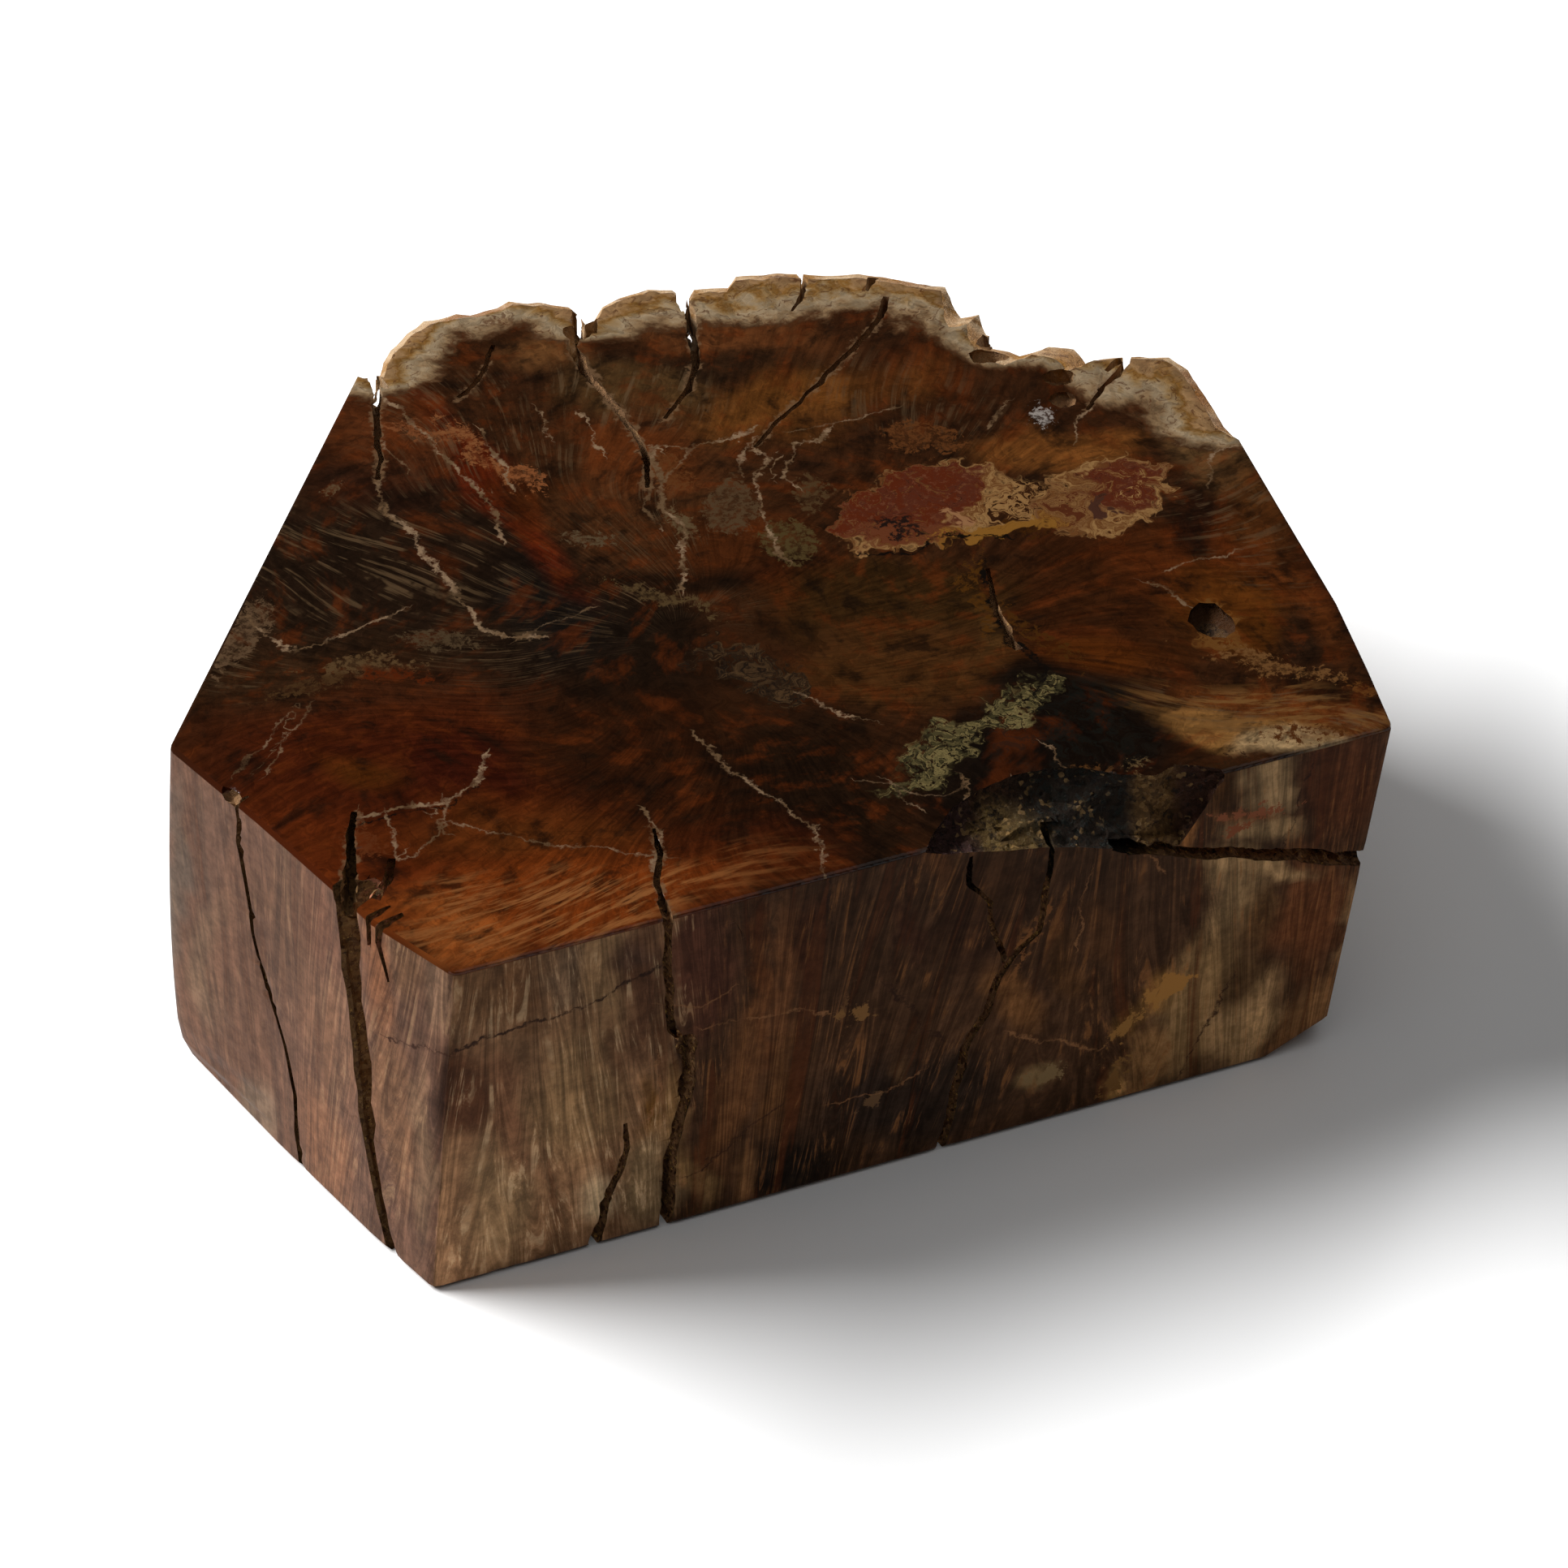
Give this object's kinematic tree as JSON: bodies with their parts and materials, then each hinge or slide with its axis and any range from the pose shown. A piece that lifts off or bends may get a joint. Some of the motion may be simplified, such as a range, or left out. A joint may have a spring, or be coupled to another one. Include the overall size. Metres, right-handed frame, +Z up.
{
  "type": "polished petrified wood slice",
  "caption": "Thick block of petrified wood, sawn and polished on top and sides, with fissures, a broken chip and rough bark left along the back edge.",
  "frame": {"origin": "middle of the sawn underside's bounding box, on the surface that the block stands on", "axes": "+X along the front polished face, +Y towards the bark at the back, +Z up out of the polished top"},
  "size_m": [0.2458, 0.2087, 0.083],
  "materials": {
    "polished_fossil_wood": "dark brown and rust-red petrified wood, glossy on the sawn faces, rough cream bark and fissures"
  },
  "bodies": {
    "root": {"petrified_wood_slice": "polished_fossil_wood"}
  },
  "joints": []
}
